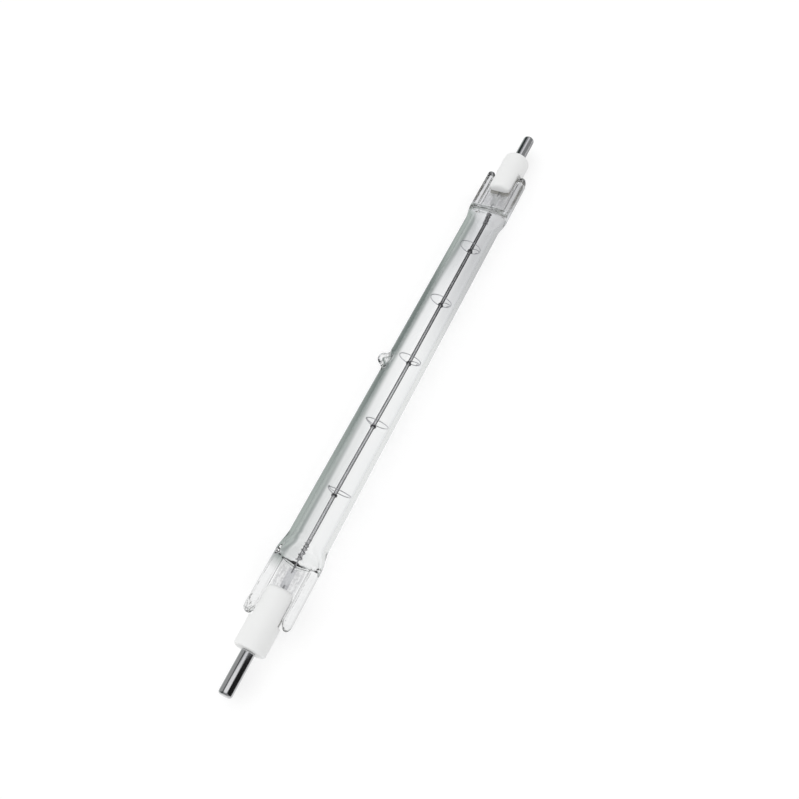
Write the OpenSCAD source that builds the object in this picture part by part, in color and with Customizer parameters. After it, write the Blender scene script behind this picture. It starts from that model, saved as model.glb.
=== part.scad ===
// Double-ended clear quartz heat lamp, lying along X with its middle at the origin.
// The pressed seal at the left end lies flat, and the right one is turned a little about the axis.

/* [Tube] */
// Outside diameter of the quartz tube
tube_od = 10; // [9:0.5:12]
// Wall of the quartz tube
tube_wall = 1; // [0.8:0.1:1.3]
// Length of the hollow between the two seals
cavity_len = 114; // [108:1:180]

/* [Pressed seals] */
// Length of a pressed seal, from the end of the hollow to the rib ends
seal_len = 13.8; // [13:0.2:17]
// How far a seal spreads past the tube on each side
seal_spread = 0.7; // [0.4:0.1:1.2]
// Width of the two side ribs
rib_w = 2.2; // [1.6:0.1:2.5]
// Thickness of the side ribs
rib_t = 3.8; // [3.2:0.1:4.6]
// Thickness of the flat web between the ribs
web_t = 2.2; // [1.6:0.1:2.6]
// Length over which the round tube is pressed down to the seal
shoulder_len = 5.5; // [4:0.5:8]
// Depth of the V in which the hollow ends
chevron = 0.9; // [0.4:0.1:1.5]
// Turn of the right seal about the axis, in degrees
seal_twist = 15; // [0:1:30]

/* [Exhaust tip] */
// Height of the sealed-off tip above the tube
tip_h = 2; // [1.2:0.1:2.6]
// Diameter of the tip where it leaves the tube
tip_d = 5; // [4:0.1:6]
// Place of the tip along the tube, from the middle
tip_x = -1.2; // [-20:0.2:20]
// Direction of the tip, in degrees above level
tip_angle = 10; // [-20:1:60]

/* [Filament] */
// Outside diameter of the filament coil
coil_d = 0.95; // [0.9:0.05:1.4]
// Wire of the filament coil
coil_wire = 0.2; // [0.16:0.01:0.22]
// Pitch of the filament coil
coil_pitch = 0.85; // [0.7:0.05:1.2]
// Free end of the inner lead inside the hollow
lead_free = 5.6; // [4:0.1:7]
// Gap between the inner lead and the turns of the coil
lead_gap = 0.075; // [0.05:0.005:0.1]
// Distance from the end of the coil to the end of the hollow
coil_gap = 1.4; // [1:0.1:2]
// Distance from the overwind to the end of the hollow
overwind_gap = 1.1; // [0.8:0.1:1.6]
// Wire of the overwind on each filament end
overwind_wire = 0.22; // [0.16:0.02:0.28]
// Pitch of the overwind
overwind_pitch = 1.1; // [0.7:0.1:1.6]

/* [Supports] */
// Distance between two supports
support_pitch = 19.9; // [16:0.1:21]
// How far the middle support lies from the middle of the tube
support_offset = 2.1; // [-3:0.1:3]
// Wire of a support
support_wire = 0.22; // [0.2:0.02:0.34]
// Gap between a support's loop and the tube's bore
support_gap = 1; // [0.5:0.1:1.3]
// Axial distance from a support's inner helix to its loop
support_reach = 0.9; // [0.6:0.1:1.4]
// Lean of a support's loop towards the left end
support_lean = 11; // [0:1:14]
// Turns of a support's inner helix
helix_turns = 2; // [2:1:4]
// Turns of a support's loop
loop_turns = 1.1; // [1:0.05:1.25]

/* [Seal foil and leads] */
// Width of the sealing foil
foil_w = 1.8; // [1.2:0.1:2.4]
// Thickness of the sealing foil
foil_t = 0.06; // [0.04:0.01:0.1]
// Length of the sealing foil
foil_len = 5; // [4:0.5:6]
// Distance from the end of the hollow to the foil
foil_in = 1.2; // [0.8:0.1:1.8]
// Length over which a lead lies on the foil
foil_lap = 1; // [0.6:0.1:1.4]

/* [Ceramic ends] */
// Diameter of the ceramic sleeve
ceramic_d = 7.5; // [7.2:0.1:9]
// Length of the ceramic sleeve
ceramic_len = 14.3; // [13:0.1:18]
// How far the sleeve goes over the seal
ceramic_lap = 7.3; // [6.6:0.1:8]
// Gap between the sleeve's tongue and each rib
tongue_gap = 0.45; // [0.2:0.05:0.7]
// Cement layer between the slot and the web
cement_t = 0.25; // [0.15:0.05:0.4]
// Cement past the end of the web
cement_end = 1; // [0.6:0.1:1.4]
// How far the cement stays behind the faces of the tongue
cement_recess = 0.2; // [0.1:0.05:0.4]
// Gap between the round sleeve and the rib ends
shoulder_gap = 0.3; // [0.2:0.05:0.5]
// Radius of the tongue's corners
tongue_r = 1.4; // [1:0.1:2]
// Radius of the sleeve's outer rim
rim_r = 0.7; // [0.3:0.1:1]

/* [Contact pins] */
// Diameter of a contact pin
pin_d = 3.2; // [2.6:0.1:4]
// Length of a pin outside the ceramic
pin_out = 10; // [7:0.5:14]
// Ceramic between the slot and the pin's seat
slot_floor = 2.5; // [2:0.1:3.2]
// Rounding of the free end of a pin
pin_round = 0.8; // [0.3:0.1:1.2]
// Diameter of the pin's thinner shank in the ceramic
shank_d = 2.4; // [2:0.1:2.6]
// Bevel at the pin's shoulder, which sits on the ceramic
shoulder_bevel = 0.2; // [0.1:0.05:0.3]
// Depth of the pin's bore for the outer lead
pin_bore = 2.6; // [2:0.1:2.8]

/* [Hidden] */
$fn = 64;

tube_r = tube_od / 2;
bore_r = tube_r - tube_wall;
seal_r = tube_r + seal_spread;
rib_gap = 2 * seal_r - 2 * rib_w;
// Stations along the right half of the lamp
hollow_end = cavity_len / 2;
shoulder_start = hollow_end - shoulder_len;
seal_end = hollow_end + seal_len;
ceramic_start = seal_end - ceramic_lap;
ceramic_end = ceramic_start + ceramic_len;
pocket_end = seal_end + cement_end;
pin_start = pocket_end + slot_floor;
pin_end = ceramic_end + pin_out;
foil_start = hollow_end + foil_in;
foil_end = foil_start + foil_len;
coil_end = hollow_end - coil_gap;
overwind_end = hollow_end - overwind_gap;
overwind_len = lead_free - overwind_gap;
lead_start = hollow_end - lead_free;
// Radii of the wires' centre lines
coil_r = (coil_d - coil_wire) / 2;
wire_gap = 0.03;
overwind_r = coil_d / 2 + wire_gap + overwind_wire / 2;
helix_r = coil_d / 2 + wire_gap + support_wire / 2;
loop_r = bore_r - support_gap - support_wire / 2;
lead_d = coil_d - 2 * coil_wire - 2 * lead_gap;
tongue_w = rib_gap - 2 * tongue_gap;
cement_w = tongue_w - 2 * cement_recess;
body_start = seal_end + shoulder_gap;
// Half height of the slit in which the hollow ends
slit_h = lead_d / 2 + 0.15;
support_count = 5;
// Angle at which each support's spoke leaves the filament
support_turns = [-100, -130, 100, 100, 100];
// Steps of a curved profile, and of one turn of each wire
curve_steps = 10;
coil_steps = 8;
support_steps = 10;
loop_steps = 24;
eps = 0.01;

// Smooth step from 0 to 1
function ease(t) = (1 - cos(180 * t)) / 2;

// Half profile that eases from (x0, a) to (x1, b)
function ease_curve(x0, a, x1, b) =
    [for (i = [0:curve_steps]) let (t = i / curve_steps) [x0 + (x1 - x0) * t, a + (b - a) * ease(t)]];

// Points of an arc
function arc(cx, cy, r, a0, a1, steps = 6) =
    [for (i = [0:steps]) let (a = a0 + (a1 - a0) * i / steps) [cx + r * cos(a), cy + r * sin(a)]];

// Point of a line round the X axis: place along X, radius and angle
function around(x, r, a) = [x, r * cos(a), r * sin(a)];

// Wire along a list of [x, radius, angle] stations round the X axis
module wire(stations, d, sides) {
    last = len(stations) - 1;
    path = [for (s = stations) around(s[0], s[1], s[2])];
    rings = [for (i = [0:last])
        let (
            ahead = path[min(i + 1, last)],
            behind = path[max(i - 1, 0)],
            run = (ahead - behind) / norm(ahead - behind),
            out = around(0, 1, stations[i][2]),
            side = cross(run, out) / norm(cross(run, out)),
            up = cross(side, run))
        [for (k = [0:sides - 1]) path[i] + d / 2 * (cos(360 * k / sides) * up + sin(360 * k / sides) * side)]];
    walls = [for (i = [0:last - 1], k = [0:sides - 1])
        let (a = i * sides + k, b = i * sides + (k + 1) % sides, c = a + sides, e = b + sides)
        each [[a, c, b], [b, c, e]]];
    near_cap = [for (k = [0:sides - 1]) k];
    far_cap = [for (k = [sides - 1:-1:0]) last * sides + k];
    polyhedron([for (r = rings) each r], concat(walls, [near_cap], [far_cap]));
}

// Stations of a helix round the X axis
function helix(x, r, pitch, turns, steps, a0 = 0) =
    [for (i = [0:ceil(turns * steps)]) [x + pitch * i / steps, r, a0 + 360 * i / steps]];

// Solid of revolution about X, from a half profile of [x, radius] points
module turned(half) {
    rotate([0, 90, 0]) rotate([0, 0, 90]) rotate_extrude() polygon([for (p = half) [p[1], p[0]]]);
}

// Flat outline in the XY plane, cut through the lamp's whole height
module plan_cut() {
    translate([0, 0, -seal_r - 1]) linear_extrude(2 * seal_r + 2) children();
}

// Flat outline in the XZ plane, cut through the lamp's whole width
module side_cut(width = 2 * seal_r + 2) {
    translate([0, width / 2, 0]) rotate([90, 0, 0]) linear_extrude(width) children();
}

// Puts a right-hand end piece in its place: the right one turned, the left one mirrored
module at_end(side) {
    if (side > 0) rotate([-seal_twist, 0, 0]) children();
    else mirror([1, 0, 0]) children();
}

// Revolve about X whose radius eases from r in the middle to r + seal_spread at both ends
module flared(r, reach, flare_end) {
    right = concat(
        ease_curve(shoulder_start - 1, r, flare_end, r + seal_spread),
        [[reach, r + seal_spread], [reach, 0]]);
    left = [for (i = [len(right) - 1:-1:0]) [-right[i][0], right[i][1]]];
    turned(concat(left, right));
}

// What the jaws press away above and below one end, from height a down to height b
module pressed_away(x0, a, x1, b, reach) {
    over = seal_r + 1;
    for (s = [0, 1]) mirror([0, 0, s]) side_cut() polygon(concat(
        [[x0 - 1, over], [x0 - 1, a]], ease_curve(x0, a, x1, b), [[reach, b], [reach, over]]));
}

// Glass outside the rounded corners at the rib ends
module corner_waste() {
    corner_r = rib_w * 0.6;
    for (s = [0, 1]) mirror([0, s, 0]) plan_cut() difference() {
        translate([seal_end - corner_r, seal_r - corner_r]) square(corner_r + 1);
        translate([seal_end - corner_r, seal_r - corner_r]) circle(corner_r);
    }
}

// Pressed pocket above the web, between the ribs, with a V-shaped sloping end
module web_pocket() {
    ramp = 0.9;
    slit_distance = 0.5;
    start = hollow_end + slit_distance;
    reach = seal_end + 1;
    over = rib_t / 2 + 1;
    intersection() {
        side_cut() polygon([
            [start - chevron - ramp, over], [start + ramp, web_t / 2], [reach, web_t / 2], [reach, over]]);
        plan_cut() polygon([
            [start, 0], [start - chevron, -rib_gap / 2], [reach, -rib_gap / 2],
            [reach, rib_gap / 2], [start - chevron, rib_gap / 2]]);
    }
}

// Hollow of the tube, closing to a V-shaped slit at each seal
module hollow() {
    bore_flare_end = hollow_end - 3 * chevron;
    bore_press_end = hollow_end - 1.8 * chevron;
    difference() {
        flared(bore_r, hollow_end + 1, bore_flare_end);
        for (side = [-1, 1]) at_end(side) {
            pressed_away(shoulder_start - 0.5, bore_r + eps, bore_press_end, slit_h, hollow_end + 2);
            plan_cut() polygon([
                [hollow_end, 0], [hollow_end - chevron, seal_r + 1], [hollow_end + 2, seal_r + 1],
                [hollow_end + 2, -seal_r - 1], [hollow_end - chevron, -seal_r - 1]]);
        }
    }
}

// Point of a quadratic curve from a to c, pulled towards b
function bend(a, b, c, t) = (1 - t) * (1 - t) * a + 2 * t * (1 - t) * b + t * t * c;

// Rounded nub where the exhaust tube was melted off, blended into the tube's wall
module tip_outside() {
    crown_share = 0.3;
    lean = 20;
    foot_depth = 0.75;
    crown_r = crown_share * tip_d;
    crown_z = tube_r + tip_h - crown_r;
    foot = [tip_d / 2, tube_r - foot_depth];
    neck = [crown_r * cos(lean), crown_z + crown_r * sin(lean)];
    pull = neck + 0.65 * tip_h * [sin(lean), -cos(lean)];
    rotate_extrude() polygon(concat(
        [[0, foot[1] - 0.1], [foot[0], foot[1] - 0.1]],
        [for (i = [0:curve_steps]) bend(foot, pull, neck, i / curve_steps)],
        arc(0, crown_z, crown_r, lean + 10, 75, 4),
        [[0, crown_z + crown_r * sin(75)]]));
}

// Narrow end of the exhaust bore that stays inside the nub
module tip_inside() {
    foot_r = 1.1;
    neck_r = 0.5;
    top_r = 0.3;
    foot_z = bore_r - 0.5;
    top_z = tube_r + tip_h / 2;
    rotate_extrude() polygon([[0, foot_z], [foot_r, foot_z], [neck_r, tube_r + 0.1], [top_r, top_z], [0, top_z]]);
}

module at_tip() {
    translate([tip_x, 0, 0]) rotate([tip_angle - 90, 0, 0]) children();
}

module lead(x0, x1, lap_x0, lap_x1) {
    difference() {
        translate([x0, 0, 0]) rotate([0, 90, 0]) cylinder(d = lead_d, h = x1 - x0);
        translate([lap_x0, -lead_d, -lead_d]) cube([lap_x1 - lap_x0, 2 * lead_d, lead_d + foil_t / 2]);
    }
}

module inner_lead(side) {
    color([0.35, 0.35, 0.37]) at_end(side)
        lead(lead_start, foil_start + foil_lap, foil_start, foil_start + foil_lap + eps);
}

module outer_lead(side) {
    color([0.45, 0.45, 0.47]) at_end(side)
        lead(foil_end - foil_lap, pin_start + pin_bore, foil_end - foil_lap - eps, foil_end);
}

module foil(side) {
    color([0.72, 0.73, 0.75]) at_end(side)
        translate([foil_start, -foil_w / 2, -foil_t / 2]) cube([foil_len, foil_w, foil_t]);
}

module quartz_tube() {
    color([0.86, 0.92, 0.92, 0.35]) difference() {
        union() {
            flared(tube_r, seal_end, hollow_end - chevron);
            at_tip() tip_outside();
        }
        for (side = [-1, 1]) at_end(side) {
            pressed_away(shoulder_start, tube_r + eps, hollow_end + chevron / 2, rib_t / 2, seal_end + 1);
            corner_waste();
            for (s = [0, 1]) mirror([0, 0, s]) web_pocket();
        }
        hollow();
        at_tip() tip_inside();
        for (side = [-1, 1]) {
            inner_lead(side);
            outer_lead(side);
            foil(side);
        }
    }
}

module filament() {
    turns = 2 * coil_end / coil_pitch;
    color([0.3, 0.3, 0.31]) wire(helix(-coil_end, coil_r, coil_pitch, turns, coil_steps), coil_wire, 4);
}

module overwind(side) {
    turns = overwind_len / overwind_pitch;
    color([0.25, 0.25, 0.26]) at_end(side)
        wire(helix(overwind_end - overwind_len, overwind_r, overwind_pitch, turns, support_steps), overwind_wire, 6);
}

// One wire: inner helix on the filament, spoke that winds outwards, and loop
module support(i) {
    helix_pitch = support_wire * 1.15;
    loop_advance = support_wire * 1.2;
    helix_end = -support_reach;
    helix_start = helix_end - helix_turns * helix_pitch;
    spoke_turn = 0.25;
    spoke_steps = 6;
    lean = tan(support_lean);
    turn = support_turns[i - 1];
    inner = helix(helix_start, helix_r, helix_pitch, helix_turns, support_steps, turn);
    spoke = [for (k = [1:spoke_steps])
        let (t = k / spoke_steps, r = helix_r + (loop_r - helix_r) * ease(t), a = turn + 360 * spoke_turn * t)
        [helix_end + support_reach * t - lean * r * sin(a) * ease(t), r, a]];
    loop = [for (k = [1:round(loop_turns * loop_steps)])
        let (t = k / loop_steps, a = turn + 360 * (spoke_turn + t))
        [loop_advance * t - lean * loop_r * sin(a), loop_r, a]];
    color([0.4, 0.4, 0.42]) translate([support_offset + (i - (support_count + 1) / 2) * support_pitch, 0, 0])
        wire(concat(inner, spoke, loop), support_wire, 5);
}

// Slotted tongue and round body in one outline
module ceramic_plan() {
    translate([body_start, -ceramic_d]) square([ceramic_end - body_start, 2 * ceramic_d]);
    translate([ceramic_start + tongue_r, -tongue_w / 2]) square([body_start - ceramic_start, tongue_w]);
    translate([ceramic_start, -tongue_w / 2 + tongue_r]) square([2 * tongue_r, tongue_w - 2 * tongue_r]);
    for (s = [-1, 1]) translate([ceramic_start + tongue_r, s * (tongue_w / 2 - tongue_r)]) circle(tongue_r);
}

// Slot for the web: open on both sides of the tongue, and a pocket in the round body
module slot_block() {
    slot_t = web_t + 2 * cement_t;
    translate([ceramic_start - 1, -tongue_w / 2 - 1, -slot_t / 2])
        cube([body_start - ceramic_start + 1, tongue_w + 2, slot_t]);
    translate([ceramic_start, -cement_w / 2, -slot_t / 2])
        cube([pocket_end - ceramic_start, cement_w, slot_t]);
}

module ceramic(side) {
    lead_clearance = 0.2;
    color([0.93, 0.93, 0.91]) at_end(side) difference() {
        intersection() {
            turned(concat(
                [[ceramic_start, 0], [ceramic_start, ceramic_d / 2]],
                arc(ceramic_end - rim_r, ceramic_d / 2 - rim_r, rim_r, 90, 0),
                [[ceramic_end, 0]]));
            plan_cut() ceramic_plan();
        }
        slot_block();
        translate([pin_start, 0, 0]) rotate([0, 90, 0]) cylinder(d = shank_d, h = ceramic_end - pin_start + 1);
        translate([seal_end, 0, 0]) rotate([0, 90, 0]) cylinder(d = lead_d + 2 * lead_clearance, h = ceramic_len);
    }
}

module cement(side) {
    cement_start = ceramic_start + 2 * cement_recess;
    color([0.85, 0.84, 0.8]) at_end(side) difference() {
        translate([cement_start, -cement_w / 2, -web_t / 2 - cement_t])
            cube([pocket_end - cement_start, cement_w, web_t + 2 * cement_t]);
        translate([ceramic_start, -tongue_w, -web_t / 2]) cube([seal_end - ceramic_start, 2 * tongue_w, web_t]);
        translate([ceramic_start, 0, 0]) rotate([0, 90, 0]) cylinder(d = lead_d, h = ceramic_len);
    }
}

module pin(side) {
    color([0.7, 0.7, 0.72]) at_end(side) difference() {
        turned(concat(
            [[pin_start, 0], [pin_start, shank_d / 2], [ceramic_end, shank_d / 2],
                [ceramic_end, pin_d / 2 - shoulder_bevel], [ceramic_end + shoulder_bevel, pin_d / 2]],
            arc(pin_end - pin_round, pin_d / 2 - pin_round, pin_round, 90, 0),
            [[pin_end, 0]]));
        translate([pin_start - eps, 0, 0]) rotate([0, 90, 0]) cylinder(d = lead_d, h = pin_bore + eps);
    }
}

quartz_tube();
filament();
for (i = [1:support_count]) support(i);
overwind(-1);  // overwind_left
overwind(1);  // overwind_right
inner_lead(-1);  // inner_lead_left
inner_lead(1);  // inner_lead_right
foil(-1);  // foil_left
foil(1);  // foil_right
outer_lead(-1);  // outer_lead_left
outer_lead(1);  // outer_lead_right
ceramic(-1);  // ceramic_left
ceramic(1);  // ceramic_right
cement(-1);  // cement_left
cement(1);  // cement_right
pin(-1);  // pin_left
pin(1);  // pin_right
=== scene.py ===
"""Dressed model of a double-ended clear quartz heat lamp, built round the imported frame."""
import math

import bmesh
import bpy
from mathutils import Matrix, Vector, noise

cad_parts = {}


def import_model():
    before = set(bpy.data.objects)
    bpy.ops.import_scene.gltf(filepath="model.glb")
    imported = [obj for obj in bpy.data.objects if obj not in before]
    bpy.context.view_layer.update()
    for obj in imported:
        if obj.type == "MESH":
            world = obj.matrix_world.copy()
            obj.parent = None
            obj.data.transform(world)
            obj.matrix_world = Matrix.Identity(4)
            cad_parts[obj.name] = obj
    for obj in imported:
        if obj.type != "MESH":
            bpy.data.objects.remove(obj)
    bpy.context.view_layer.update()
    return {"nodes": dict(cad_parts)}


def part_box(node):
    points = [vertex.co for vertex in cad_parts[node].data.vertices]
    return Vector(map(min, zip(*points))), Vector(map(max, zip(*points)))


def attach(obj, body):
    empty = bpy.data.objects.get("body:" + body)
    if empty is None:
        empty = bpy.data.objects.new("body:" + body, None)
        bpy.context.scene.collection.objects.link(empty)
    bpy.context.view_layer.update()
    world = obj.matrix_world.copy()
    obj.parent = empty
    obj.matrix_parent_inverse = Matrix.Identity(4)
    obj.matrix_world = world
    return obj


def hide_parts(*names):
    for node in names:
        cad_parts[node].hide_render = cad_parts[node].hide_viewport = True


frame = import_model()

# Sizes in metres. Most come from the frame, and the rest repeat the maker's dimensions.
MM = 0.001
TUBE_R = 5.0 * MM
WALL = 1.0 * MM
SEAL_R = -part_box("quartz_tube")[0].y
SEAL_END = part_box("quartz_tube")[1].x
FOIL_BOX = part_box("foil_left")
HOLLOW_END = -FOIL_BOX[1].x - 1.2 * MM
RIB_W = 2.2 * MM
RIB_T = 3.8 * MM
WEB_T = 2.2 * MM
RIB_GAP = 2 * SEAL_R - 2 * RIB_W
SHOULDER_START = HOLLOW_END - 5.5 * MM
CHEVRON = 0.9 * MM
SEAL_TWIST = math.radians(-15)
TIP_X = -1.2 * MM
TIP_H = 2.0 * MM
TIP_R = 2.5 * MM
TIP_ANGLE = math.radians(10)
CERAMIC_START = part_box("ceramic_right")[0].x
CERAMIC_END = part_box("ceramic_right")[1].x
CERAMIC_R = 3.75 * MM
TONGUE_W = RIB_GAP - 0.9 * MM
SLOT_T = WEB_T + 0.5 * MM
BODY_START = SEAL_END + 0.3 * MM
PIN_R = 1.6 * MM
PIN_START = SEAL_END + 3.5 * MM
SHANK_R = 1.2 * MM
PIN_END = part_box("pin_right")[1].x
COIL_R = 0.385 * MM
COIL_WIRE = 0.18 * MM
COIL_END = HOLLOW_END - 1.4 * MM
COIL_PITCH = 0.26 * MM
OVERWIND_WIRE = 0.22 * MM
SUPPORT_PITCH = 19.9 * MM
SUPPORT_OFFSET = 2.1 * MM
SUPPORT_WIRE = 0.22 * MM
SUPPORT_REACH = 0.9 * MM
LOOP_R = TUBE_R - WALL - 1.0 * MM - SUPPORT_WIRE / 2
FLOOR_Z = -TUBE_R

# Light of the sky on surfaces, and as it shows in glass and metal
DIFFUSE_SKY = 0.66
MIRRORED_SKY = (0.30, 0.305, 0.305)
# Light that the floor gives off itself, which keeps its shadows faint
FLOOR_LIFT = 0.48

# Camera at the photograph's viewing angle
CAMERA_PLACE = Vector((-107.13, -23.10, 188.11)) * MM
CAMERA_TARGET = Vector((-9.07, -2.75, 0.0)) * MM
CAMERA_ROLL = math.radians(15.12)
CAMERA_LENS = 39.27


def ease(t):
    """Smooth step from 0 to 1."""
    t = min(max(t, 0.0), 1.0)
    return (1 - math.cos(math.pi * t)) / 2


def mix(a, b, t):
    return a + (b - a) * t


def spaced(start, stop, step):
    """Even stations from start up to stop, without stop itself."""
    count = max(1, round((stop - start) / step))
    return [start + (stop - start) * i / count for i in range(count)]


def finish_mesh(bm, name, material, nodes, smooth=True):
    """Turns a bmesh into a piece that rides on the lamp and stands for its CAD nodes."""
    mesh = bpy.data.meshes.new(name)
    for face in bm.faces:
        face.smooth = smooth
    bm.to_mesh(mesh)
    bm.free()
    piece = bpy.data.objects.new(name, mesh)
    bpy.context.scene.collection.objects.link(piece)
    mesh.materials.append(material)
    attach(piece, "root")
    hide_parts(*nodes)
    return piece


# Glass

def loft(bm, stations, segments, place):
    """Skin of rings along X. place(x, angle) gives the place of each ring's vertex. Ends are closed."""
    turn = bm.verts.layers.float.new("turn")
    ring = bmesh.ops.create_circle(bm, segments=segments, radius=1.0)["verts"]
    for vert in ring:
        vert[turn] = math.atan2(vert.co.y, vert.co.x)
    edges = list({edge for vert in ring for edge in vert.link_edges})
    caps = [edges]
    for x in stations:
        if x != stations[0]:
            grown = bmesh.ops.extrude_edge_only(bm, edges=edges)["geom"]
            ring = [g for g in grown if isinstance(g, bmesh.types.BMVert)]
            fresh = set(ring)
            edges = [g for g in grown if isinstance(g, bmesh.types.BMEdge)
                     and g.verts[0] in fresh and g.verts[1] in fresh]
        for vert in ring:
            vert.co = place(x, vert[turn])
    caps.append(edges)
    for cap in caps:
        bmesh.ops.holes_fill(bm, edges=cap, sides=0)
    bmesh.ops.recalc_face_normals(bm, faces=bm.faces)


def at_end(point, x):
    """Turns a point of the right-hand end by the twist of its seal, easing in over the shoulder."""
    twist = SEAL_TWIST * ease((x - SHOULDER_START + 3 * MM) / (3 * MM)) if x > 0 else 0.0
    return Matrix.Rotation(twist, 3, "X") @ point


def pressed(z, limit, sharpness=9):
    """Height z pressed down to a limit, with a rounded edge."""
    return z / (1 + abs(z / limit) ** sharpness) ** (1 / sharpness)


def nub_curve(height, foot_r, crown_r, steps=18):
    """Profile of the sealed-off tip as (radius, height) points from its top to its foot."""
    lean = math.radians(20)
    centre = height - crown_r
    points = []
    for i in range(steps + 1):
        a = mix(math.pi / 2, lean, i / steps)
        points.append((crown_r * math.cos(a), centre + crown_r * math.sin(a)))
    neck = points[-1]
    pull = (neck[0] + 0.65 * height * math.sin(lean), neck[1] - 0.65 * height * math.cos(lean))
    for i in range(1, steps + 1):
        t = i / steps
        points.append(tuple(
            (1 - t) ** 2 * neck[k] + 2 * t * (1 - t) * pull[k] + t * t * (foot_r, 0.0)[k] for k in (0, 1)))
    return points


def along(points, share):
    """Point of a profile at that share of its length."""
    lengths = [math.dist(a, b) for a, b in zip(points, points[1:])]
    left = share * sum(lengths)
    for (a, b), length in zip(zip(points, points[1:]), lengths):
        if left <= length:
            t = left / length if length else 0.0
            return mix(a[0], b[0], t), mix(a[1], b[1], t)
        left -= length
    return points[-1]


OUTER_NUB = nub_curve(TIP_H, TIP_R + 0.5 * MM, 1.6 * MM)
INNER_NUB = nub_curve(1.7 * MM, 1.3 * MM, 0.32 * MM)


def pull_tip(x, angle, radius, curve):
    """Place of a round skin's vertex near the sealed-off tip, or None away from it."""
    sideways = radius * math.sin(angle - TIP_ANGLE)
    length = x - TIP_X
    reach = math.hypot(length, sideways)
    widest = curve[-1][0] * 1.12
    if reach >= widest or math.cos(angle - TIP_ANGLE) < 0:
        return None
    r, height = along(curve, reach / widest)
    r = mix(r, reach, ease(reach / widest) ** 6)
    k = r / reach if reach > 1e-9 else 0.0
    local = Vector((length * k, sideways * k, 0.0))
    local.z = math.sqrt(radius ** 2 - local.y ** 2) + height
    c, s = math.cos(TIP_ANGLE), math.sin(TIP_ANGLE)
    return Vector((TIP_X + local.x, local.z * c - local.y * s, local.z * s + local.y * c))


def glass_outside(x, angle):
    """Outer skin: round tube, shoulders, ribs and sunk web, and the sealed-off tip."""
    u = abs(x)
    if u < 10 * MM:
        pulled = pull_tip(x, angle, TUBE_R, OUTER_NUB)
        if pulled:
            return pulled
    radius = TUBE_R + (SEAL_R - TUBE_R) * ease((u - SHOULDER_START + MM) / (HOLLOW_END - CHEVRON - SHOULDER_START + MM))
    y, z = radius * math.cos(angle), radius * math.sin(angle)
    limit = mix(TUBE_R * 1.35, RIB_T / 2 * 1.03, ease((u - SHOULDER_START + MM) / (HOLLOW_END + 0.5 * MM - SHOULDER_START + MM)))
    if u > SHOULDER_START - MM:
        z = pressed(z, limit)
    start = HOLLOW_END + 0.2 * MM - CHEVRON * min(abs(y) / (RIB_GAP / 2), 1.0)
    sunk = ease((u - start) / (1.2 * MM)) * ease((RIB_GAP / 2 + 0.25 * MM - abs(y)) / (0.5 * MM))
    z -= math.copysign((RIB_T - WEB_T) / 2 * sunk * min(abs(z) / (0.8 * MM), 1.0), z)
    # Rounded rib tips, and a web that stops a little short of them
    tip = ease((u - SEAL_END + 2.2 * MM) / (2.2 * MM))
    rib_mid = SEAL_R - RIB_W / 2
    off = min(abs(abs(y) - rib_mid) / (RIB_W / 2), 1.0)
    back = (1.5 * MM * (1 - math.sqrt(max(1 - off * off, 0.0)))) if abs(y) > rib_mid - RIB_W / 2 else 1.5 * MM
    closing = max(0.0, (u - SEAL_END + 1.3 * MM) / (1.3 * MM))
    z *= math.sqrt(max(1 - 0.9 * closing ** 2, 0.0))
    u -= back * tip
    point = Vector((math.copysign(u, x), y, z))
    if x < 0 and y > RIB_GAP / 2:
        rough = ease((u - SEAL_END + 4.2 * MM) / (1.6 * MM)) * 0.32 * MM
        point += noise.noise_vector(point / (0.55 * MM)) * rough * Vector((0.8, 0.7, 0.7)).x
        point.y = min(point.y, SEAL_R)
    return at_end(point, x)


def glass_inside(x, angle):
    """Skin of the hollow, which closes to a V-shaped slit at each seal."""
    u = abs(x)
    radius = TUBE_R - WALL
    if u < 10 * MM:
        pulled = pull_tip(x, angle, radius, INNER_NUB)
        if pulled:
            return pulled
    flare = ease((u - SHOULDER_START + MM) / (HOLLOW_END - 2 * CHEVRON - SHOULDER_START + MM))
    radius += (SEAL_R - TUBE_R) * flare
    y, z = radius * math.cos(angle), radius * math.sin(angle)
    limit = mix(radius * 1.35, 0.5 * MM, ease((u - SHOULDER_START) / (HOLLOW_END - CHEVRON - SHOULDER_START)))
    if u > SHOULDER_START:
        z = pressed(z, limit, 5)
    closing = ease((u - HOLLOW_END + 1.6 * MM) / (1.6 * MM))
    z *= 1 - 0.8 * closing
    y *= 1 - 0.06 * closing
    u -= CHEVRON * abs(y) / SEAL_R * closing
    return at_end(Vector((math.copysign(u, x), y, z)), x)


def both_ways(half):
    """Stations from the left end to the right end, from those of the right half."""
    return [-x for x in reversed(half)] + half[1:]


def near_tip(half):
    """Adds close stations across the sealed-off tip."""
    fine = spaced(TIP_X - 3.6 * MM, TIP_X + 3.6 * MM, 0.15 * MM)
    kept = [x for x in half if x < fine[0] - 0.1 * MM or x > fine[-1] + 0.1 * MM]
    return sorted(kept + fine)


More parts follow.
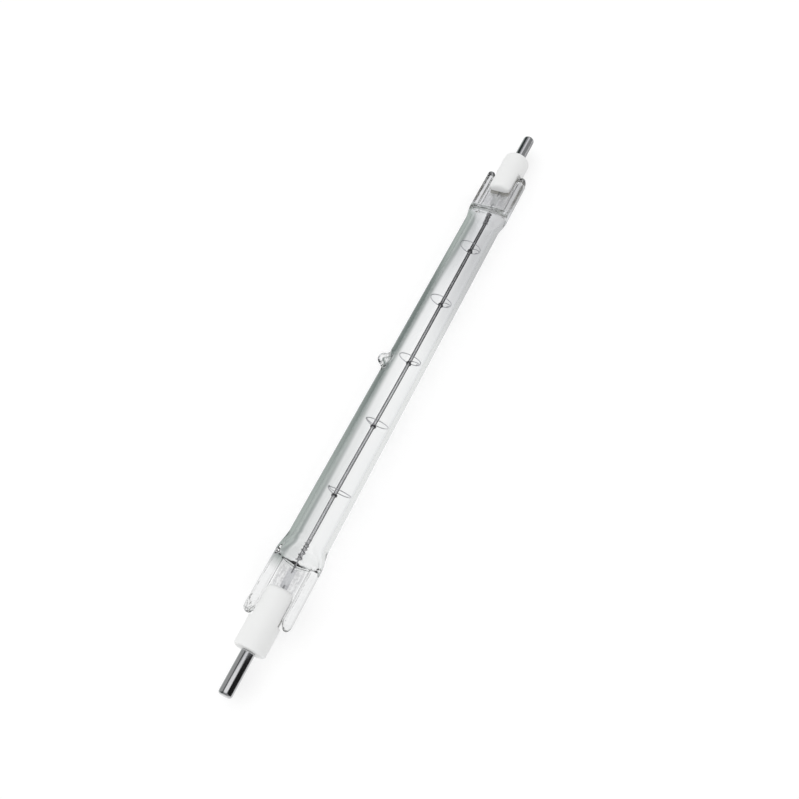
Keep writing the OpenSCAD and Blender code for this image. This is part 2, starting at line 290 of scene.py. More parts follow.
def quartz_tube(material):
    bm = bmesh.new()
    half = (spaced(0.0, SHOULDER_START - 4 * MM, 3.0 * MM) + spaced(SHOULDER_START - 4 * MM, HOLLOW_END - 2 * MM, 0.35 * MM)
            + spaced(HOLLOW_END - 2 * MM, HOLLOW_END + 2 * MM, 0.14 * MM)
            + spaced(HOLLOW_END + 2 * MM, SEAL_END - 4.5 * MM, 0.5 * MM)
            + spaced(SEAL_END - 4.5 * MM, SEAL_END, 0.16 * MM) + [SEAL_END])
    loft(bm, near_tip(both_ways(half)), 216, glass_outside)
    inner = bmesh.new()
    half = (spaced(0.0, SHOULDER_START - 4 * MM, 3.0 * MM) + spaced(SHOULDER_START - 4 * MM, HOLLOW_END - 2 * MM, 0.35 * MM)
            + spaced(HOLLOW_END - 2 * MM, HOLLOW_END, 0.12 * MM) + [HOLLOW_END])
    loft(inner, near_tip(both_ways(half)), 180, glass_inside)
    bmesh.ops.reverse_faces(inner, faces=inner.faces)
    shell = bpy.data.meshes.new("hollow")
    inner.to_mesh(shell)
    inner.free()
    bm.from_mesh(shell)
    bpy.data.meshes.remove(shell)
    return finish_mesh(bm, "glass_envelope", material, ["quartz_tube"])


# Wires

def wire(bm, path, radius, sides):
    """Round wire along a path of points, closed at both ends."""
    turn = bm.verts.layers.float.new("turn")
    ring = bmesh.ops.create_circle(bm, segments=sides, radius=1.0)["verts"]
    for vert in ring:
        vert[turn] = math.atan2(vert.co.y, vert.co.x)
    edges = list({edge for vert in ring for edge in vert.link_edges})
    bmesh.ops.contextual_create(bm, geom=edges)
    for i, point in enumerate(path):
        if i:
            grown = bmesh.ops.extrude_edge_only(bm, edges=edges)["geom"]
            ring = [g for g in grown if isinstance(g, bmesh.types.BMVert)]
            fresh = set(ring)
            edges = [g for g in grown if isinstance(g, bmesh.types.BMEdge)
                     and g.verts[0] in fresh and g.verts[1] in fresh]
        run = (path[min(i + 1, len(path) - 1)] - path[max(i - 1, 0)]).normalized()
        out = Vector((0.0, point.y, point.z)).normalized()
        side = run.cross(out).normalized()
        up = side.cross(run)
        for vert in ring:
            vert.co = point + radius * (math.cos(vert[turn]) * up + math.sin(vert[turn]) * side)
    bmesh.ops.contextual_create(bm, geom=edges)


def around(x, r, angle):
    return Vector((x, r * math.cos(angle), r * math.sin(angle)))


def helix(start, r, pitch, turns, steps, first=0.0):
    return [around(start + pitch * i / steps, r, first + math.tau * i / steps)
            for i in range(math.ceil(turns * steps) + 1)]


def coil_drift(x):
    """How far the coil lies off the axis, sideways, because it is never quite straight."""
    return -0.5 * MM * ease((x + 45 * MM) / (50 * MM)) * (1 - ease((x - 52 * MM) / (6 * MM)))


def drift(bm):
    for vert in bm.verts:
        vert.co.y += coil_drift(vert.co.x)


def apply_step(piece, step):
    with bpy.context.temp_override(object=piece, active_object=piece):
        bpy.ops.object.modifier_apply(modifier=step.name)


def filament(material):
    """One spun turn, repeated along the lamp."""
    bm = bmesh.new()
    turns = round(2 * COIL_END / COIL_PITCH)
    pitch = 2 * COIL_END / turns
    ring = bmesh.ops.create_circle(bm, segments=6, radius=COIL_WIRE / 2, matrix=Matrix.Translation((-COIL_END, COIL_R, 0)))["verts"]
    edges = list({edge for vert in ring for edge in vert.link_edges})
    bmesh.ops.spin(
        bm, geom=ring + edges, cent=(0, 0, 0), axis=(1, 0, 0), dvec=(pitch / 16, 0, 0),
        angle=math.tau, steps=16, use_merge=False, use_duplicate=False)
    bmesh.ops.recalc_face_normals(bm, faces=bm.faces)
    piece = finish_mesh(bm, "filament_coil", material, ["filament"])
    repeat = piece.modifiers.new("turns", "ARRAY")
    repeat.count = turns
    repeat.use_relative_offset = False
    repeat.use_constant_offset = True
    repeat.constant_offset_displace = (pitch, 0, 0)
    repeat.use_merge_vertices = True
    repeat.merge_threshold = 1e-6
    apply_step(piece, repeat)
    bm = bmesh.new()
    bm.from_mesh(piece.data)
    bmesh.ops.holes_fill(bm, edges=[e for e in bm.edges if e.is_boundary], sides=0)
    bmesh.ops.recalc_face_normals(bm, faces=bm.faces)
    drift(bm)
    bm.to_mesh(piece.data)
    bm.free()


def overwind(side, material):
    bm = bmesh.new()
    length = 4.5 * MM
    start = HOLLOW_END - 1.1 * MM - length
    r = COIL_R + COIL_WIRE / 2 + 0.03 * MM + OVERWIND_WIRE / 2
    path = helix(start, r, 1.1 * MM, length / (1.1 * MM), 22)
    wire(bm, path, OVERWIND_WIRE / 2, 10)
    name = "right" if side > 0 else "left"
    if side < 0:
        bmesh.ops.scale(bm, vec=(-1, 1, 1), verts=bm.verts)
    bmesh.ops.recalc_face_normals(bm, faces=bm.faces)
    drift(bm)
    return finish_mesh(bm, "end_winding_" + name, material, ["overwind_" + name])


# Sideways place of each support's loop, which may touch the bore
LOOP_SHIFT = [0.72, 0.72, 0.26, 0.0, 0.0]
# Angle at which each support's spoke leaves the coil
SPOKE_TURNS = [math.radians(turn) for turn in (-100, -130, 100, 100, 100)]
# Lean of the loops towards the left end
LOOP_LEAN = math.tan(math.radians(11))


def support(number, material):
    """One wire: tight inner helix on the coil, spoke that winds outwards, and loop."""
    bm = bmesh.new()
    centre = SUPPORT_OFFSET + (number - 3) * SUPPORT_PITCH
    pitch = SUPPORT_WIRE * 1.15
    turns = 2
    first = SPOKE_TURNS[number - 1]
    r = COIL_R + COIL_WIRE / 2 + 0.03 * MM + SUPPORT_WIRE / 2
    path = helix(-SUPPORT_REACH - turns * pitch, r, pitch, turns, 22, first)
    spoke = 16
    for i in range(1, spoke + 1):
        t = i / spoke
        point = around(mix(-SUPPORT_REACH, 0.0, t), mix(r, LOOP_R, ease(t)), first + math.tau * 0.25 * t)
        path.append(point - Vector((LOOP_LEAN * point.z * ease(t), 0, 0)))
    steps = 56
    loop_turns = 1.1
    for i in range(1, round(loop_turns * steps) + 1):
        t = i / steps
        point = around(SUPPORT_WIRE * 1.2 * t, LOOP_R, first + math.tau * (0.25 + t))
        path.append(point - Vector((LOOP_LEAN * point.z, 0, 0)))
    inside = coil_drift(centre)
    outside = -LOOP_SHIFT[number - 1] * MM
    for point in path:
        far = (math.hypot(point.y, point.z) - r) / (LOOP_R - r)
        point.y += mix(inside, outside, min(max(far, 0.0), 1.0))
        point.x += centre
    wire(bm, path, SUPPORT_WIRE / 2, 10)
    bmesh.ops.recalc_face_normals(bm, faces=bm.faces)
    return finish_mesh(bm, f"wire_support_{number}", material, [f"support_{number}"])


# Ceramic sleeves and pins

def revolve(bm, profile, segments=96):
    """Solid of revolution about X from (x, radius) points, with its ends on the axis."""
    verts = [bm.verts.new((x, r, 0.0)) for x, r in profile]
    edges = [bm.edges.new(pair) for pair in zip(verts, verts[1:])]
    bmesh.ops.spin(bm, geom=verts + edges, cent=(0, 0, 0), axis=(1, 0, 0), angle=math.tau,
                   steps=segments, use_merge=True, use_duplicate=False)
    bmesh.ops.remove_doubles(bm, verts=bm.verts, dist=1e-7)
    bmesh.ops.recalc_face_normals(bm, faces=bm.faces)


def block(bm, low, high):
    size = Vector(high) - Vector(low)
    middle = (Vector(high) + Vector(low)) / 2
    bmesh.ops.create_cube(bm, size=1.0, matrix=Matrix.Translation(middle) @ Matrix.Diagonal((*size, 1.0)))


def cut(piece, bm):
    """Cuts the shape in bm out of a piece, and applies it."""
    mesh = bpy.data.meshes.new("cutter")
    bm.to_mesh(mesh)
    bm.free()
    cutter = bpy.data.objects.new("cutter", mesh)
    bpy.context.scene.collection.objects.link(cutter)
    step = piece.modifiers.new("cut", "BOOLEAN")
    step.operation = "DIFFERENCE"
    step.solver = "EXACT"
    step.object = cutter
    apply_step(piece, step)
    bpy.data.objects.remove(cutter)
    bpy.data.meshes.remove(mesh)


def rounded(points, radii, steps=5):
    """Profile with its inner corners rounded off, each by its own radius."""
    out = [points[0]]
    for a, b, c, radius in zip(points, points[1:], points[2:], radii):
        before = (Vector(a) - Vector(b)).normalized() * radius + Vector(b)
        after = (Vector(c) - Vector(b)).normalized() * radius + Vector(b)
        for i in range(steps + 1):
            t = i / steps
            p = before * (1 - t) ** 2 + Vector(b) * 2 * t * (1 - t) + after * t * t
            out.append((p.x, p.y))
    out.append(points[-1])
    return out


def place_end(bm, side):
    """Puts a right-hand piece at its end: the right one turned, the left one mirrored."""
    if side > 0:
        bmesh.ops.rotate(bm, cent=(0, 0, 0), matrix=Matrix.Rotation(SEAL_TWIST, 3, "X"), verts=bm.verts)
    else:
        bmesh.ops.scale(bm, vec=(-1, 1, 1), verts=bm.verts)
    bmesh.ops.recalc_face_normals(bm, faces=bm.faces)


def ceramic(side, material):
    name = "right" if side > 0 else "left"
    bm = bmesh.new()
    rim = rounded([(CERAMIC_START, 0.0), (CERAMIC_START, CERAMIC_R), (CERAMIC_END, CERAMIC_R), (CERAMIC_END, SHANK_R)],
                  [1.3 * MM, 0.8 * MM])
    revolve(bm, rim + [(PIN_START, SHANK_R), (PIN_START, 0.0)])
    piece = finish_mesh(bm, "ceramic_sleeve_" + name, material, ["ceramic_" + name])
    for way in (-1, 1):
        flat = bmesh.new()
        low_y, high_y = sorted((way * TONGUE_W / 2, way * (CERAMIC_R + MM)))
        block(flat, (CERAMIC_START - MM, low_y, -CERAMIC_R - MM), (BODY_START, high_y, CERAMIC_R + MM))
        cut(piece, flat)
        corner = bmesh.new()
        corner_r = 1.5 * MM
        block(corner, (CERAMIC_START - MM, way * (TONGUE_W / 2 - corner_r / 2) - corner_r / 2, -CERAMIC_R - MM),
              (CERAMIC_START + corner_r, way * (TONGUE_W / 2 - corner_r / 2) + corner_r / 2, CERAMIC_R + MM))
        round_stock = bmesh.new()
        bmesh.ops.create_cone(round_stock, cap_ends=True, segments=48, radius1=corner_r, radius2=corner_r, depth=4 * CERAMIC_R,
                              matrix=Matrix.Translation((CERAMIC_START + corner_r, way * (TONGUE_W / 2 - corner_r), 0)))
        mesh = bpy.data.meshes.new("corner")
        corner.to_mesh(mesh)
        corner.free()
        waste = bpy.data.objects.new("corner", mesh)
        bpy.context.scene.collection.objects.link(waste)
        cut(waste, round_stock)
        keep = bmesh.new()
        keep.from_mesh(waste.data)
        bpy.data.objects.remove(waste)
        bpy.data.meshes.remove(mesh)
        cut(piece, keep)
    slot = bmesh.new()
    block(slot, (CERAMIC_START - MM, -TONGUE_W / 2 - MM, -SLOT_T / 2), (BODY_START, TONGUE_W / 2 + MM, SLOT_T / 2))
    cut(piece, slot)
    bm = bmesh.new()
    bm.from_mesh(piece.data)
    place_end(bm, side)
    bmesh.ops.remove_doubles(bm, verts=bm.verts, dist=2e-6)
    for face in bm.faces:
        face.smooth = True
    bm.to_mesh(piece.data)
    bm.free()
    edge = piece.modifiers.new("worn edges", "BEVEL")
    edge.width = 0.18 * MM
    edge.segments = 3
    edge.limit_method = "ANGLE"
    edge.angle_limit = math.radians(32)
    edge.harden_normals = True
    return piece


def pin(side, material):
    name = "right" if side > 0 else "left"
    bm = bmesh.new()
    bevel = 0.2 * MM
    shank = [(PIN_START + 0.1 * MM, SHANK_R), (CERAMIC_END, SHANK_R), (CERAMIC_END, PIN_R - bevel), (CERAMIC_END + bevel, PIN_R)]
    end = rounded([(CERAMIC_END + 2 * bevel, PIN_R), (PIN_END, PIN_R), (PIN_END, 0.0)], [0.8 * MM], 10)
    revolve(bm, [(PIN_START + 0.1 * MM, 0.0)] + shank + end)
    place_end(bm, side)
    return finish_mesh(bm, "contact_pin_" + name, material, ["pin_" + name])


# Materials

def new_material(name):
    mat = bpy.data.materials.new(name)
    mat.use_nodes = True
    tree = mat.node_tree
    return mat, tree, tree.nodes["Principled BSDF"]


def node(tree, kind, **values):
    made = tree.nodes.new(kind)
    for key, value in values.items():
        if key in made.inputs:
            made.inputs[key].default_value = value
        else:
            setattr(made, key, value)
    return made


def metal(name, colour, roughness, grain, depth=0.15):
    """Metal with a fine grain."""
    mat, tree, bsdf = new_material(name)
    bsdf.inputs["Metallic"].default_value = 1.0
    where = node(tree, "ShaderNodeTexCoord")
    fine = node(tree, "ShaderNodeTexNoise", Scale=grain, Detail=4.0)
    tree.links.new(where.outputs["Object"], fine.inputs["Vector"])
    ramp = node(tree, "ShaderNodeMapRange", **{"To Min": roughness * 0.75, "To Max": roughness * 1.3})
    tree.links.new(fine.outputs["Fac"], ramp.inputs["Value"])
    tree.links.new(ramp.outputs["Result"], bsdf.inputs["Roughness"])
    tint = node(tree, "ShaderNodeMix", data_type="RGBA")
    tint.inputs["A"].default_value = (*[c * (1 - depth) for c in colour], 1)
    tint.inputs["B"].default_value = (*[min(c * (1 + depth), 1.0) for c in colour], 1)
    tree.links.new(fine.outputs["Fac"], tint.inputs["Factor"])
    tree.links.new(tint.outputs["Result"], bsdf.inputs["Base Color"])
    return mat, tree, bsdf, tint


def smooth_range(tree, value, start, stop):
    """Smooth step of a value between two limits."""
    step = node(tree, "ShaderNodeMapRange", **{"From Min": start, "From Max": stop})
    step.interpolation_type = "SMOOTHSTEP"
    tree.links.new(value, step.inputs["Value"])
    return step.outputs["Result"]


def calculate(tree, operation, first, second):
    """Math node on two sockets or numbers."""
    made = node(tree, "ShaderNodeMath", operation=operation)
    for i, value in enumerate((first, second)):
        if isinstance(value, (int, float)):
            made.inputs[i].default_value = value
        else:
            tree.links.new(value, made.inputs[i])
    return made.outputs[0]


def coil_metal():
    """Grey tungsten with painted shade that darkens the sides of the coil as a whole."""
    mat, tree, bsdf, tint = metal("tungsten wire", (0.95, 0.95, 0.97), 0.4, 9000.0, 0.05)
    bsdf.inputs["Metallic"].default_value = 0.45
    where = node(tree, "ShaderNodeTexCoord")
    split = node(tree, "ShaderNodeSeparateXYZ")
    tree.links.new(where.outputs["Object"], split.inputs["Vector"])
    started = smooth_range(tree, split.outputs["X"], -45 * MM, 5 * MM)
    ended = smooth_range(tree, split.outputs["X"], 58 * MM, 52 * MM)
    shift = calculate(tree, "MULTIPLY", calculate(tree, "MULTIPLY", started, ended), 0.5 * MM)
    outward = node(tree, "ShaderNodeCombineXYZ")
    tree.links.new(calculate(tree, "ADD", split.outputs["Y"], shift), outward.inputs["Y"])
    tree.links.new(split.outputs["Z"], outward.inputs["Z"])
    unit = node(tree, "ShaderNodeVectorMath", operation="NORMALIZE")
    tree.links.new(outward.outputs["Vector"], unit.inputs[0])
    facing = node(tree, "ShaderNodeLayerWeight", Blend=0.5)
    tree.links.new(unit.outputs["Vector"], facing.inputs["Normal"])
    # Painted shade: the base colour goes near black towards the sides of the coil, by the view angle to the coil's own
    # axis
    turned = node(tree, "ShaderNodeMix", data_type="RGBA")
    turned.inputs["B"].default_value = (0.05, 0.05, 0.055, 1)
    tree.links.new(tint.outputs["Result"], turned.inputs["A"])
    tree.links.new(smooth_range(tree, facing.outputs["Facing"], 0.1, 0.32), turned.inputs["Factor"])
    tree.links.new(turned.outputs["Result"], bsdf.inputs["Base Color"])
    return mat


def support_metal():
    """Support wire with painted shade, near black, where it grips the coil, and its own grey out on its loop."""
    mat, tree, bsdf, tint = metal("support wire", (0.5, 0.5, 0.52), 0.3, 6000.0)
    where = node(tree, "ShaderNodeTexCoord")
    flat = node(tree, "ShaderNodeVectorMath", operation="MULTIPLY")
    flat.inputs[1].default_value = (0.0, 1.0, 1.0)
    tree.links.new(where.outputs["Object"], flat.inputs[0])
    radius = node(tree, "ShaderNodeVectorMath", operation="LENGTH")
    tree.links.new(flat.outputs["Vector"], radius.inputs[0])
    # Painted shade: near-black base colour close to the coil, fading out between 1.1 and 1.7 mm from the axis
    out = node(tree, "ShaderNodeMix", data_type="RGBA")
    out.inputs["A"].default_value = (0.05, 0.05, 0.055, 1)
    tree.links.new(smooth_range(tree, radius.outputs["Value"], 1.1 * MM, 1.7 * MM), out.inputs["Factor"])
    tree.links.new(tint.outputs["Result"], out.inputs["B"])
    tree.links.new(out.outputs["Result"], bsdf.inputs["Base Color"])
    return mat


def foil_metal():
    """Bright etched foil, which scatters light as well."""
    mat, tree, bsdf, tint = metal("sealing foil", (0.94, 0.945, 0.95), 0.2, 4000.0, 0.04)
    bsdf.inputs["Metallic"].default_value = 0.3
    return mat


def quartz():
    mat, tree, bsdf = new_material("clear quartz")
    bsdf.inputs["IOR"].default_value = 1.458
    bsdf.inputs["Transmission Weight"].default_value = 1.0
    bsdf.inputs["Roughness"].default_value = 0.0
    # Painted shade: the base colour turns from a near-clear tint to grey-green towards the edges of the glass, standing
    # in for dark surroundings seen in them
    facing = node(tree, "ShaderNodeLayerWeight", Blend=0.5)
    power = node(tree, "ShaderNodeMath", operation="POWER")
    power.inputs[1].default_value = 3.0
    tree.links.new(facing.outputs["Facing"], power.inputs[0])
    tint = node(tree, "ShaderNodeMix", data_type="RGBA")
    tint.inputs["A"].default_value = (0.985, 0.99, 0.99, 1)
    tree.links.new(power.outputs[0], tint.inputs["Factor"])
    where = node(tree, "ShaderNodeTexCoord")
    split = node(tree, "ShaderNodeSeparateXYZ")
    tree.links.new(where.outputs["Object"], split.inputs["Vector"])
    length = node(tree, "ShaderNodeMath", operation="ABSOLUTE")
    tree.links.new(split.outputs["X"], length.inputs[0])
    # The painted edge shade is darker still over the seals
    sealed = node(tree, "ShaderNodeMapRange", **{"From Min": HOLLOW_END - 0.5 * MM, "From Max": HOLLOW_END + 1.5 * MM})
    tree.links.new(length.outputs[0], sealed.inputs["Value"])
    tree.links.new(tone_mix(tree, sealed.outputs["Result"], (0.55, 0.61, 0.60), (0.22, 0.24, 0.23)), tint.inputs["B"])
    stretch = node(tree, "ShaderNodeMapping")
    stretch.inputs["Scale"].default_value = (0.12, 1.0, 1.0)
    tree.links.new(where.outputs["Object"], stretch.inputs["Vector"])
    streaks = node(tree, "ShaderNodeTexNoise", Scale=2600.0, Detail=3.0)
    tree.links.new(stretch.outputs["Vector"], streaks.inputs["Vector"])
    grain = node(tree, "ShaderNodeTexNoise", Scale=1800.0, Detail=4.0)
    tree.links.new(where.outputs["Object"], grain.inputs["Vector"])
    surface = node(tree, "ShaderNodeMath", operation="ADD")
    tree.links.new(streaks.outputs["Fac"], surface.inputs[0])
    tree.links.new(grain.outputs["Fac"], surface.inputs[1])
    relief_height = node(tree, "ShaderNodeMath", operation="MULTIPLY")
    tree.links.new(surface.outputs[0], relief_height.inputs[0])
    tree.links.new(sealed.outputs["Result"], relief_height.inputs[1])
    relief = node(tree, "ShaderNodeBump", Strength=0.5, Distance=0.00006)
    tree.links.new(relief_height.outputs[0], relief.inputs["Height"])
    tree.links.new(relief.outputs["Normal"], bsdf.inputs["Normal"])
    greyed = node(tree, "ShaderNodeMix", data_type="RGBA")
    greyed.blend_type = "MULTIPLY"
    streak_tone = node(tree, "ShaderNodeMix", data_type="RGBA")
    streak_tone.inputs["A"].default_value = (0.6, 0.6, 0.61, 1)
    streak_tone.inputs["B"].default_value = (0.9, 0.9, 0.9, 1)
    tree.links.new(smooth_range(tree, surface.outputs[0], 0.75, 1.25), streak_tone.inputs["Factor"])
    tree.links.new(streak_tone.outputs["Result"], greyed.inputs["B"])
    flat = node(tree, "ShaderNodeVectorMath", operation="MULTIPLY")
    flat.inputs[1].default_value = (0.0, 1.0, 1.0)
    tree.links.new(where.outputs["Object"], flat.inputs[0])
    radius = node(tree, "ShaderNodeVectorMath", operation="LENGTH")
    tree.links.new(flat.outputs["Vector"], radius.inputs[0])
    rib = calculate(tree, "MULTIPLY", smooth_range(tree, radius.outputs["Value"], 2.8 * MM, 3.3 * MM), 0.75)
    web = calculate(tree, "MULTIPLY", sealed.outputs["Result"], calculate(tree, "SUBTRACT", 1.0, rib))
    tree.links.new(tint.outputs["Result"], greyed.inputs["A"])
    tree.links.new(web, greyed.inputs["Factor"])
    tree.links.new(greyed.outputs["Result"], bsdf.inputs["Base Color"])
    clear = node(tree, "ShaderNodeBsdfTransparent", Color=(0.985, 0.985, 0.985, 1))
    path = node(tree, "ShaderNodeLightPath")
    both = node(tree, "ShaderNodeMixShader")
    tree.links.new(path.outputs["Is Shadow Ray"], both.inputs["Fac"])
    tree.links.new(bsdf.outputs["BSDF"], both.inputs[1])
    tree.links.new(clear.outputs["BSDF"], both.inputs[2])
    tree.links.new(both.outputs["Shader"], tree.nodes["Material Output"].inputs["Surface"])
    return mat


def fired_clay(name, colour, speckle, bump):
    mat, tree, bsdf = new_material(name)
    where = node(tree, "ShaderNodeTexCoord")
    broad = node(tree, "ShaderNodeTexNoise", Scale=220.0, Detail=3.0)
    fine = node(tree, "ShaderNodeTexNoise", Scale=speckle, Detail=5.0)
    for texture in (broad, fine):
        tree.links.new(where.outputs["Object"], texture.inputs["Vector"])
    tint = node(tree, "ShaderNodeMix", data_type="RGBA")
    tint.inputs["A"].default_value = (*[c * 0.955 for c in colour], 1)
    tint.inputs["B"].default_value = (*colour, 1)
    tree.links.new(broad.outputs["Fac"], tint.inputs["Factor"])
    tree.links.new(tint.outputs["Result"], bsdf.inputs["Base Color"])
    bsdf.inputs["Roughness"].default_value = 0.62
    relief = node(tree, "ShaderNodeBump", Strength=bump, Distance=0.00005)
    tree.links.new(fine.outputs["Fac"], relief.inputs["Height"])
    tree.links.new(relief.outputs["Normal"], bsdf.inputs["Normal"])
    return mat


def paint_node(name, material):
    """Gives a CAD node that keeps its own shape a better material."""
    mesh = frame["nodes"][name].data
    mesh.materials.clear()
    mesh.materials.append(material)


# Stage

def floor():
    bm = bmesh.new()
    bmesh.ops.create_grid(bm, x_segments=1, y_segments=1, size=3.0, matrix=Matrix.Translation((0, 0, FLOOR_Z)))
    mesh = bpy.data.meshes.new("floor")
    bm.to_mesh(mesh)
    bm.free()
    plane = bpy.data.objects.new("floor", mesh)
    bpy.context.scene.collection.objects.link(plane)
    mat, tree, bsdf = new_material("white sweep")
    bsdf.inputs["Base Color"].default_value = (0.6, 0.6, 0.6, 1)
    bsdf.inputs["Roughness"].default_value = 1.0
    bsdf.inputs["Specular IOR Level"].default_value = 0.0
    bsdf.inputs["Emission Color"].default_value = (1, 1, 1, 1)
    bsdf.inputs["Emission Strength"].default_value = FLOOR_LIFT
    mesh.materials.append(mat)


def world():
    """Even white for what the camera and the light see, with a greyer sky in reflections."""
    sky = bpy.data.worlds.new("studio")
    bpy.context.scene.world = sky
    sky.use_nodes = True
    tree = sky.node_tree
    back = tree.nodes["Background"]
    path = node(tree, "ShaderNodeLightPath")
    tone = node(tree, "ShaderNodeMix", data_type="RGBA")
    tone.inputs["A"].default_value = (DIFFUSE_SKY, DIFFUSE_SKY, DIFFUSE_SKY, 1)
    tone.inputs["B"].default_value = (*MIRRORED_SKY, 1)
    bent = node(tree, "ShaderNodeMath", operation="MAXIMUM")
    tree.links.new(path.outputs["Is Glossy Ray"], bent.inputs[0])
    tree.links.new(path.outputs["Is Transmission Ray"], bent.inputs[1])
    tree.links.new(bent.outputs[0], tone.inputs["Factor"])
    seen = node(tree, "ShaderNodeMix", data_type="RGBA")
    seen.inputs["B"].default_value = (1, 1, 1, 1)
    tree.links.new(tone.outputs["Result"], seen.inputs["A"])
    tree.links.new(path.outputs["Is Camera Ray"], seen.inputs["Factor"])
    tree.links.new(seen.outputs["Result"], back.inputs["Color"])


def card(name, place, size, turn, colour, through_glass=True):
    """Flat studio card that shows in glass and metal but not to the camera or in the light."""
    bm = bmesh.new()
    shape = Matrix.Translation(place) @ Matrix.Rotation(turn, 4, "X") @ Matrix.Diagonal((size[0], size[1], 1.0, 1.0))
    bmesh.ops.create_grid(bm, x_segments=1, y_segments=1, size=0.5, matrix=shape)
    mesh = bpy.data.meshes.new(name)
    bm.to_mesh(mesh)
    bm.free()
    piece = bpy.data.objects.new(name, mesh)
    bpy.context.scene.collection.objects.link(piece)
    mat, tree, bsdf = new_material(name)
    bsdf.inputs["Base Color"].default_value = (0, 0, 0, 1)
    bsdf.inputs["Specular IOR Level"].default_value = 0.0
    bsdf.inputs["Emission Color"].default_value = (*colour, 1)
    bsdf.inputs["Emission Strength"].default_value = 1.0
    mesh.materials.append(mat)
    piece.visible_camera = False
    piece.visible_diffuse = False
    piece.visible_shadow = False
    piece.visible_transmission = through_glass
    return mat, tree, bsdf


def tone_mix(tree, factor, first, second):
    """Colour between two colours or sockets, by a factor socket."""
    made = node(tree, "ShaderNodeMix", data_type="RGBA")
    tree.links.new(factor, made.inputs["Factor"])
    for key, colour in (("A", first), ("B", second)):
        if isinstance(colour, tuple):
            made.inputs[key].default_value = (*colour, 1)
        else:
            tree.links.new(colour, made.inputs[key])
    return made.outputs["Result"]


def table_card():
    """Graduated card on the table, which gives the glass its dark left edge and greyer far half."""
    mat, tree, bsdf = card("table card", (0.0, 0.0115, FLOOR_Z + 0.0002), (0.30, 0.103), 0.0, (1, 1, 1))
    where = node(tree, "ShaderNodeTexCoord")
    split = node(tree, "ShaderNodeSeparateXYZ")
    tree.links.new(where.outputs["Object"], split.inputs["Vector"])
    x, y = split.outputs["X"], split.outputs["Y"]
    length = calculate(tree, "ABSOLUTE", x, 0.0)
    inside = smooth_range(tree, length, 60 * MM, 55 * MM)
    middle = calculate(tree, "MULTIPLY", smooth_range(tree, x, -50 * MM, 8 * MM), smooth_range(tree, x, 50 * MM, 28 * MM))
    wide = smooth_range(tree, y, 2.7 * MM, 4.6 * MM)
    narrow = smooth_range(tree, y, 3.6 * MM, 6.5 * MM)
    slack = calculate(tree, "MULTIPLY", middle, calculate(tree, "SUBTRACT", wide, narrow))
    dark = calculate(tree, "SUBTRACT", wide, slack)
    soft = calculate(tree, "MULTIPLY", smooth_range(tree, y, -2 * MM, 3 * MM), 0.3)
    soft = calculate(tree, "MULTIPLY", soft, calculate(tree, "SUBTRACT", 1.0, middle))
    left = calculate(tree, "MULTIPLY", calculate(tree, "MAXIMUM", dark, soft), inside)
    left = calculate(tree, "MAXIMUM", left, smooth_range(tree, y, 6.5 * MM, 10 * MM))
    right = calculate(tree, "MULTIPLY", smooth_range(tree, y, -3.5 * MM, -6 * MM), 0.3)
    lit = tone_mix(tree, smooth_range(tree, x, 5 * MM, 60 * MM), (0.96, 0.96, 0.96), (0.80, 0.80, 0.82))
    far_right = calculate(tree, "MULTIPLY", smooth_range(tree, x, 0.0, 50 * MM), smooth_range(tree, y, 0.5 * MM, -2 * MM))
    lit = tone_mix(tree, far_right, lit, (0.60, 0.60, 0.61))
    lit = tone_mix(tree, right, lit, (0.5, 0.5, 0.5))
    edge = tone_mix(tree, smooth_range(tree, y, 4.6 * MM, 5.8 * MM), (0.30, 0.33, 0.32), (0.42, 0.46, 0.44))
    edge = tone_mix(tree, middle, edge, (0.20, 0.23, 0.22))
    tree.links.new(tone_mix(tree, left, lit, edge), bsdf.inputs["Emission Color"])


def lamp(name, place, spread, strength):
    """Even light from the direction of a place, with soft shadows."""
    light = bpy.data.lights.new(name, "SUN")
    light.angle = spread
    light.energy = strength
    obj = bpy.data.objects.new(name, light)
    obj.location = place
    obj.rotation_euler = (-Vector(place)).to_track_quat("-Z", "Y").to_euler()
    obj.visible_glossy = False
    bpy.context.scene.collection.objects.link(obj)


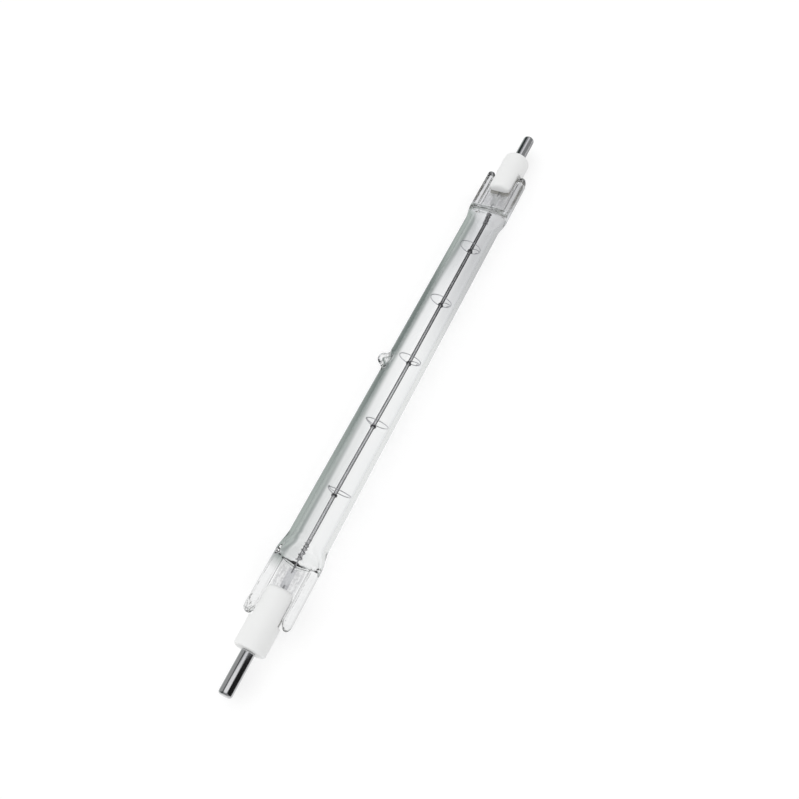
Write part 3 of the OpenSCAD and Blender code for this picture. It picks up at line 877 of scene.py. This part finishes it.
def camera():
    cam = bpy.data.cameras.new("camera")
    cam.sensor_width = 36.0
    cam.lens = CAMERA_LENS
    cam.clip_start = 0.01
    obj = bpy.data.objects.new("camera", cam)
    bpy.context.scene.collection.objects.link(obj)
    turn = (CAMERA_TARGET - CAMERA_PLACE).to_track_quat("-Z", "Y").to_matrix() @ Matrix.Rotation(CAMERA_ROLL, 3, "Z")
    obj.matrix_world = Matrix.Translation(CAMERA_PLACE) @ turn.to_4x4()
    bpy.context.scene.camera = obj


bpy.context.scene.view_settings.view_transform = "Standard"
camera()
floor()
world()
lamp("key", (-0.15, 0.25, 0.6), math.radians(70), 0.9)
UPRIGHT = math.radians(90)
card("left card", (0.0, 0.045, 0.03), (0.30, 0.07), UPRIGHT, (0.03, 0.04, 0.04), False)
card("right card", (0.031, -0.06, 0.03), (0.198, 0.07), UPRIGHT, (0.75, 0.74, 0.77))
card("ceiling card", (0.125, 0.025, 0.25), (0.65, 0.15), 0.0, (0.85, 0.85, 0.88))
card("near pin top card", (-0.085, 0.045, 0.09), (0.03, 0.15), 0.0, (1.1, 1.1, 1.1), False)
card("near pin left card", (-0.085, 0.030, 0.010), (0.03, 0.03), UPRIGHT, (0.42, 0.42, 0.42), False)
card("near pin right card", (-0.085, -0.018, 0.020), (0.022, 0.050), UPRIGHT, (0.012, 0.012, 0.012), False)
card("far pin card", (0.105, -0.0175, FLOOR_Z + 0.0002), (0.06, 0.030), 0.0, (0.16, 0.16, 0.16), False)
table_card()

QUARTZ = quartz()
TUNGSTEN = coil_metal()
SUPPORT = support_metal()
TWISTED = metal("end winding", (0.35, 0.35, 0.36), 0.22, 6000.0)[0]
MOLYBDENUM = metal("molybdenum", (0.45, 0.45, 0.46), 0.3, 6000.0)[0]
FOIL = foil_metal()
PIN = metal("plated steel", (0.62, 0.62, 0.63), 0.16, 3000.0)[0]
CERAMIC = fired_clay("white ceramic", (0.93, 0.935, 0.93), 5000.0, 0.25)
CEMENT = fired_clay("cement", (0.72, 0.71, 0.67), 3500.0, 0.8)

quartz_tube(QUARTZ)
filament(TUNGSTEN)
for number in range(1, 6):
    support(number, SUPPORT)
for side in (-1, 1):
    overwind(side, TWISTED)
    ceramic(side, CERAMIC)
    pin(side, PIN)
for end in ("left", "right"):
    paint_node("inner_lead_" + end, MOLYBDENUM)
    paint_node("outer_lead_" + end, MOLYBDENUM)
    paint_node("foil_" + end, FOIL)
    paint_node("cement_" + end, CEMENT)
